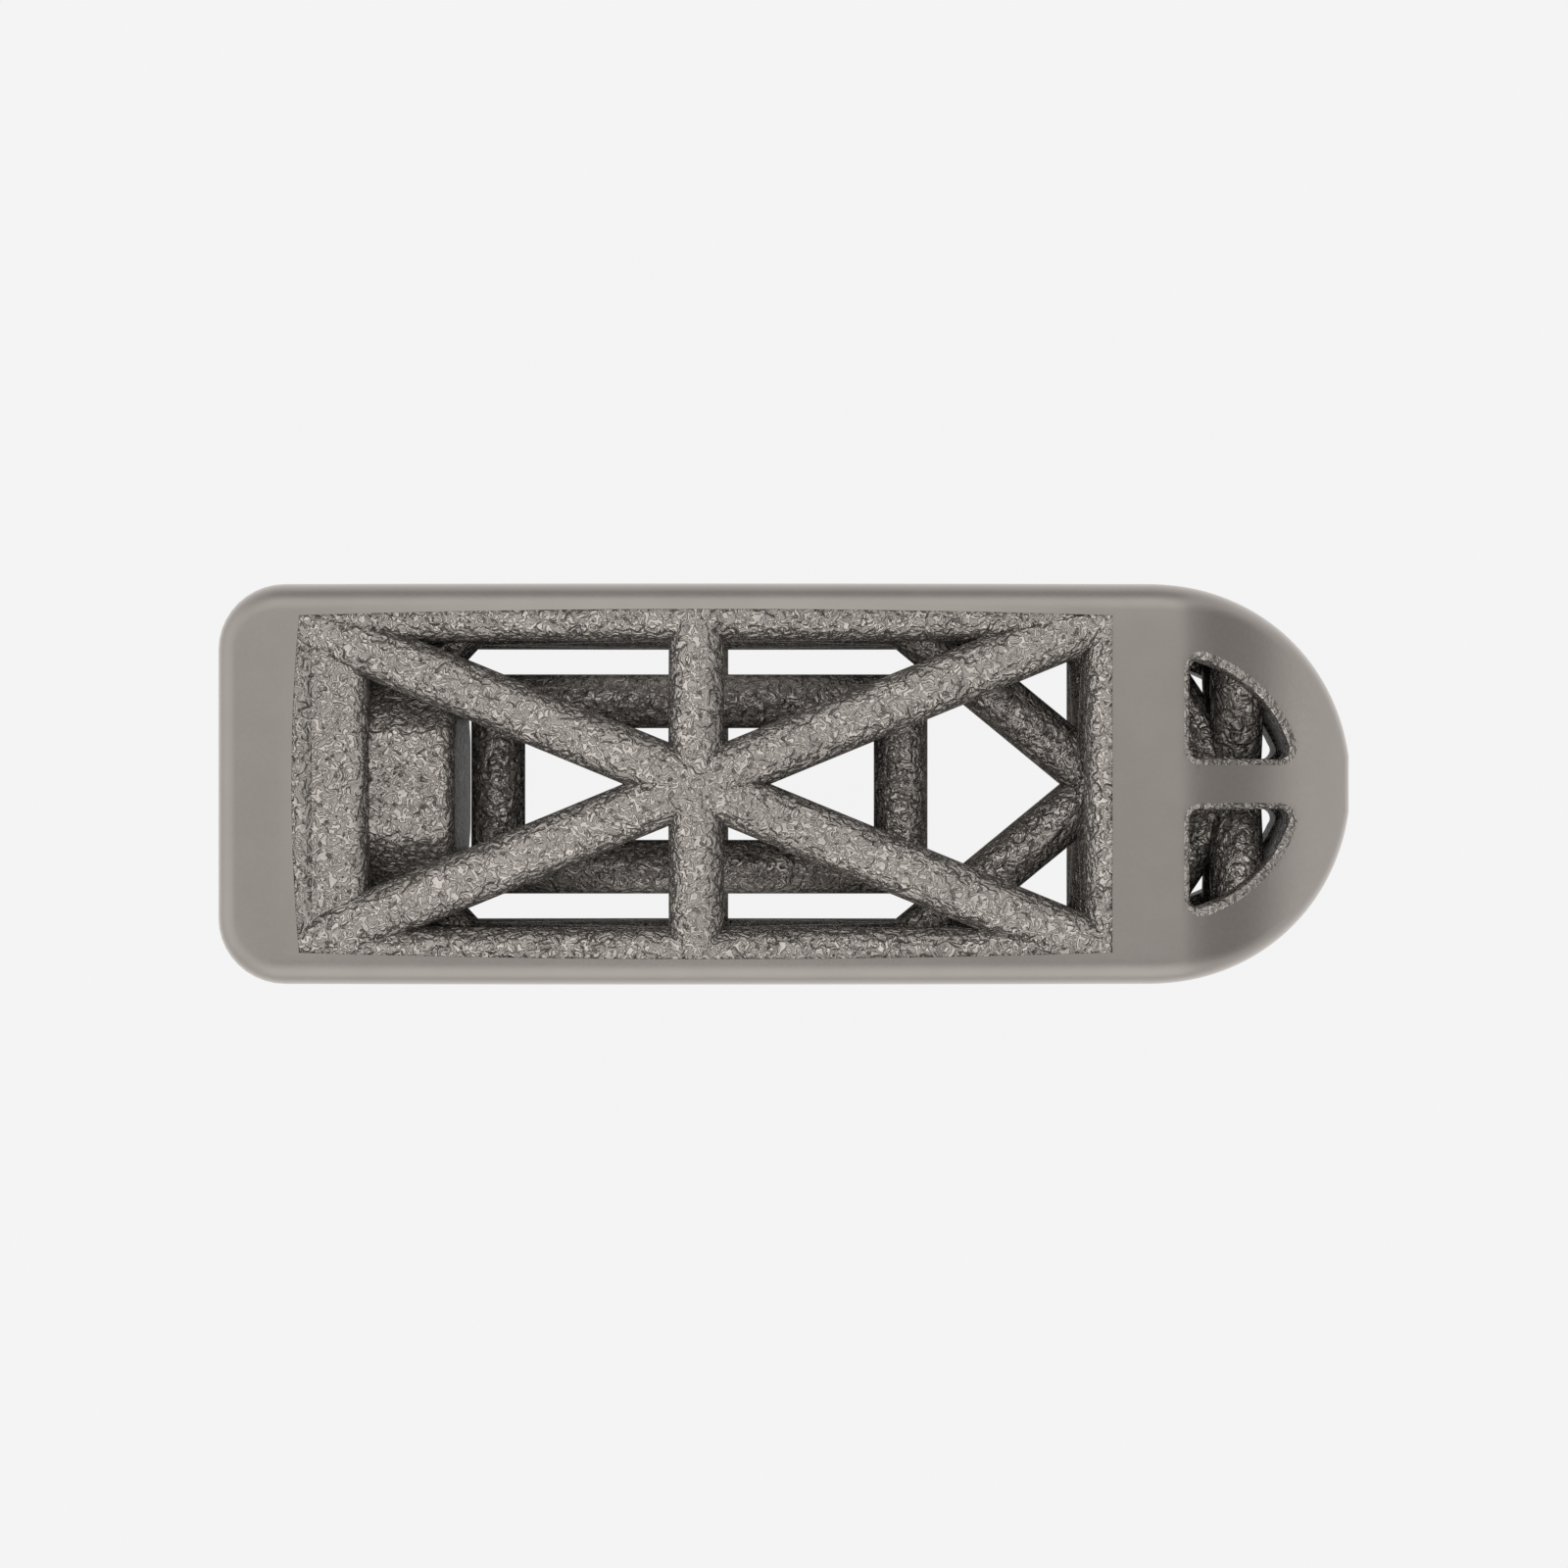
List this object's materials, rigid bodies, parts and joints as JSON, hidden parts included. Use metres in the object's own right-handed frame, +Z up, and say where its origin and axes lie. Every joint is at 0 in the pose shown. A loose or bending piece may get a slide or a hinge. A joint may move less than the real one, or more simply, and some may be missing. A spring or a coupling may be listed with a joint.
{
  "type": "spinal interbody cage",
  "caption": "Bullet-nosed interbody fusion cage: a smooth shell with domed faces around an open truss of round struts, with a bore for the inserter in its rear wall.",
  "frame": {"origin": "under the middle of the cage's box, at the height of its lowest point", "axes": "+X from the rear wall to the bullet nose, +Y across the cage to its left, +Z up through the two domed faces"},
  "size_m": [0.0258, 0.009, 0.0075],
  "materials": {
    "titanium": "satin on the shell, rough and sintered on the struts"
  },
  "bodies": {
    "root": {"cage_body": "titanium"}
  },
  "joints": []
}
